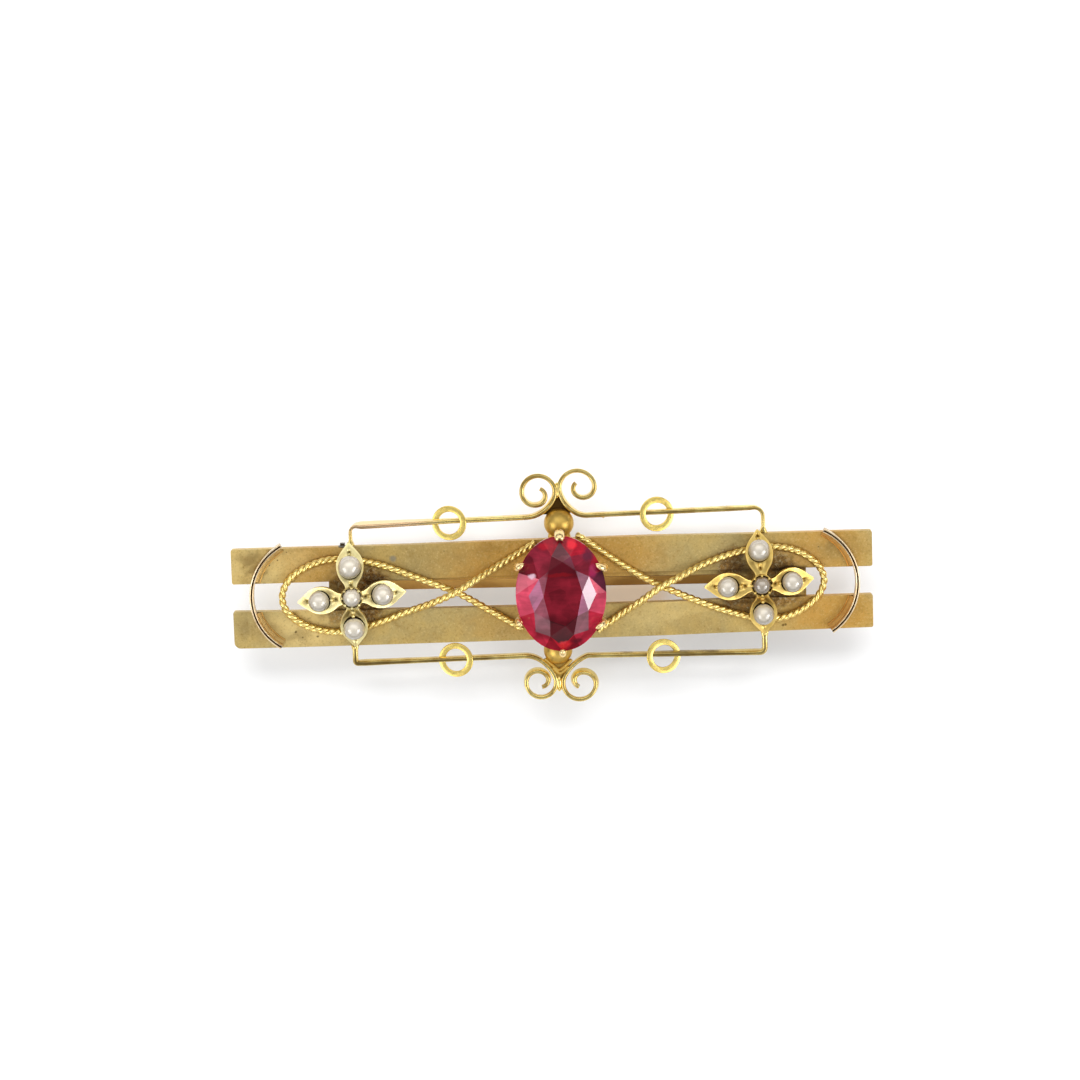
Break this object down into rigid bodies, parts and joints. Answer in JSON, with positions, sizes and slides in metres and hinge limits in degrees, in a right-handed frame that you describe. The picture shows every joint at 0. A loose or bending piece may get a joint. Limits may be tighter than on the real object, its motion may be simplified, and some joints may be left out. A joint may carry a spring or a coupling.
{
  "type": "tourmaline brooch",
  "caption": "Bar brooch in yellow gold with an oval faceted pink-red stone in claws, seed pearl flowers, twisted wire loops and scrolled wires.",
  "frame": {"origin": "on the surface that the brooch lies on, under the middle of its bounding box", "axes": "+X along the bars, +Y across them towards the upper scrolls, +Z out of the front of the brooch"},
  "size_m": [0.055, 0.0203, 0.0086],
  "materials": {
    "bloomed_gold": "matte bloomed yellow gold with brown tarnish",
    "bright_gold": "worn bright yellow gold",
    "rose_gold": "pale rose gold",
    "tourmaline": "polished facets",
    "pearl": "satin nacre"
  },
  "bodies": {
    "root": {"base_bars": "bloomed_gold", "wire_frame_upper": "bright_gold", "wire_frame_lower": "bright_gold", "end_arc_left": "bright_gold", "end_arc_right": "bright_gold", "rope_left": "bright_gold", "rope_right": "bright_gold", "flower_left": "bright_gold", "flower_right": "bright_gold", "claw_setting": "rose_gold", "tourmaline": "tourmaline", "pearl_left_centre": "pearl", "pearl_left_top": "pearl", "pearl_left_left": "pearl", "pearl_left_right": "pearl", "pearl_left_bottom": "pearl", "pearl_right_centre": "pearl", "pearl_right_top": "pearl", "pearl_right_left": "pearl", "pearl_right_right": "pearl", "pearl_right_bottom": "pearl", "pin_fitting": "rose_gold"}
  },
  "joints": []
}
